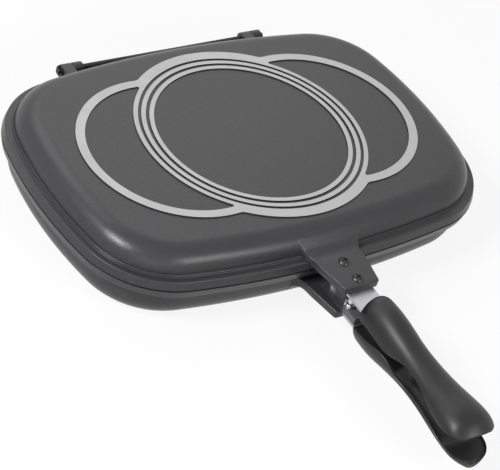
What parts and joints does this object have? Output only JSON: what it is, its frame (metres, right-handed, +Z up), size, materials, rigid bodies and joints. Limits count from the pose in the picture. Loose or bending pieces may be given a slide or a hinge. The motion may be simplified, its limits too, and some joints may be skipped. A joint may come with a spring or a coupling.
{
  "type": "double sided flip pan",
  "caption": "Two rectangular coated cast pans hinged at the back and closed on each other, with ringed faces and a pair of handles at the front.",
  "frame": {"origin": "under the centre of the closed pan, on the plane of the lower face's ridges, which it stands on", "axes": "+Z up, +Y from the handles towards the hinge, +X along the long side, to the right seen from the handles"},
  "size_m": [0.36, 0.4469, 0.0638],
  "materials": {
    "coated_cast": "cast aluminium under a dark grey satin non-stick coating",
    "bare_aluminium": "turned bare aluminium, satin",
    "black_phenolic": "moulded black phenolic, glossy",
    "bright_steel": "stamped stainless steel, fine grain",
    "black_screw": "black oxide, slight gloss",
    "dark_steel": "blackened steel",
    "plated_magnet": "bright nickel plating",
    "grey_holder": "dark grey moulded plastic",
    "black_silicone": "matt black silicone"
  },
  "bodies": {
    "lower": {"lower_pan": "coated_cast", "lower_ridges": "bare_aluminium", "hinge_rod": "dark_steel", "hinge_clips": "dark_steel", "hinge_washers": "dark_steel", "lower_strap": "bright_steel", "lower_strap_screws": "black_screw", "lower_strap_washers": "bright_steel", "lower_strap_nuts": "bright_steel", "lower_handle": "black_phenolic", "lower_handle_screw": "bright_steel", "magnet_holder": "grey_holder", "magnet_holder_screw": "bright_steel", "latch_magnets": "plated_magnet"},
    "upper": {"upper_pan": "coated_cast", "upper_ridges": "bare_aluminium", "rim_seal": "black_silicone", "upper_strap": "bright_steel", "upper_strap_screws": "black_screw", "upper_strap_washers": "bright_steel", "upper_strap_nuts": "bright_steel", "upper_handle": "black_phenolic", "upper_handle_screw": "bright_steel", "latch_studs": "plated_magnet"}
  },
  "joints": [
    {"name": "lid_hinge", "type": "hinge", "parent": "lower", "child": "upper", "pos_m": [0, 0.1315, 0.0374], "axis": [-1, 0, 0], "range_deg": [0, 180]}
  ]
}
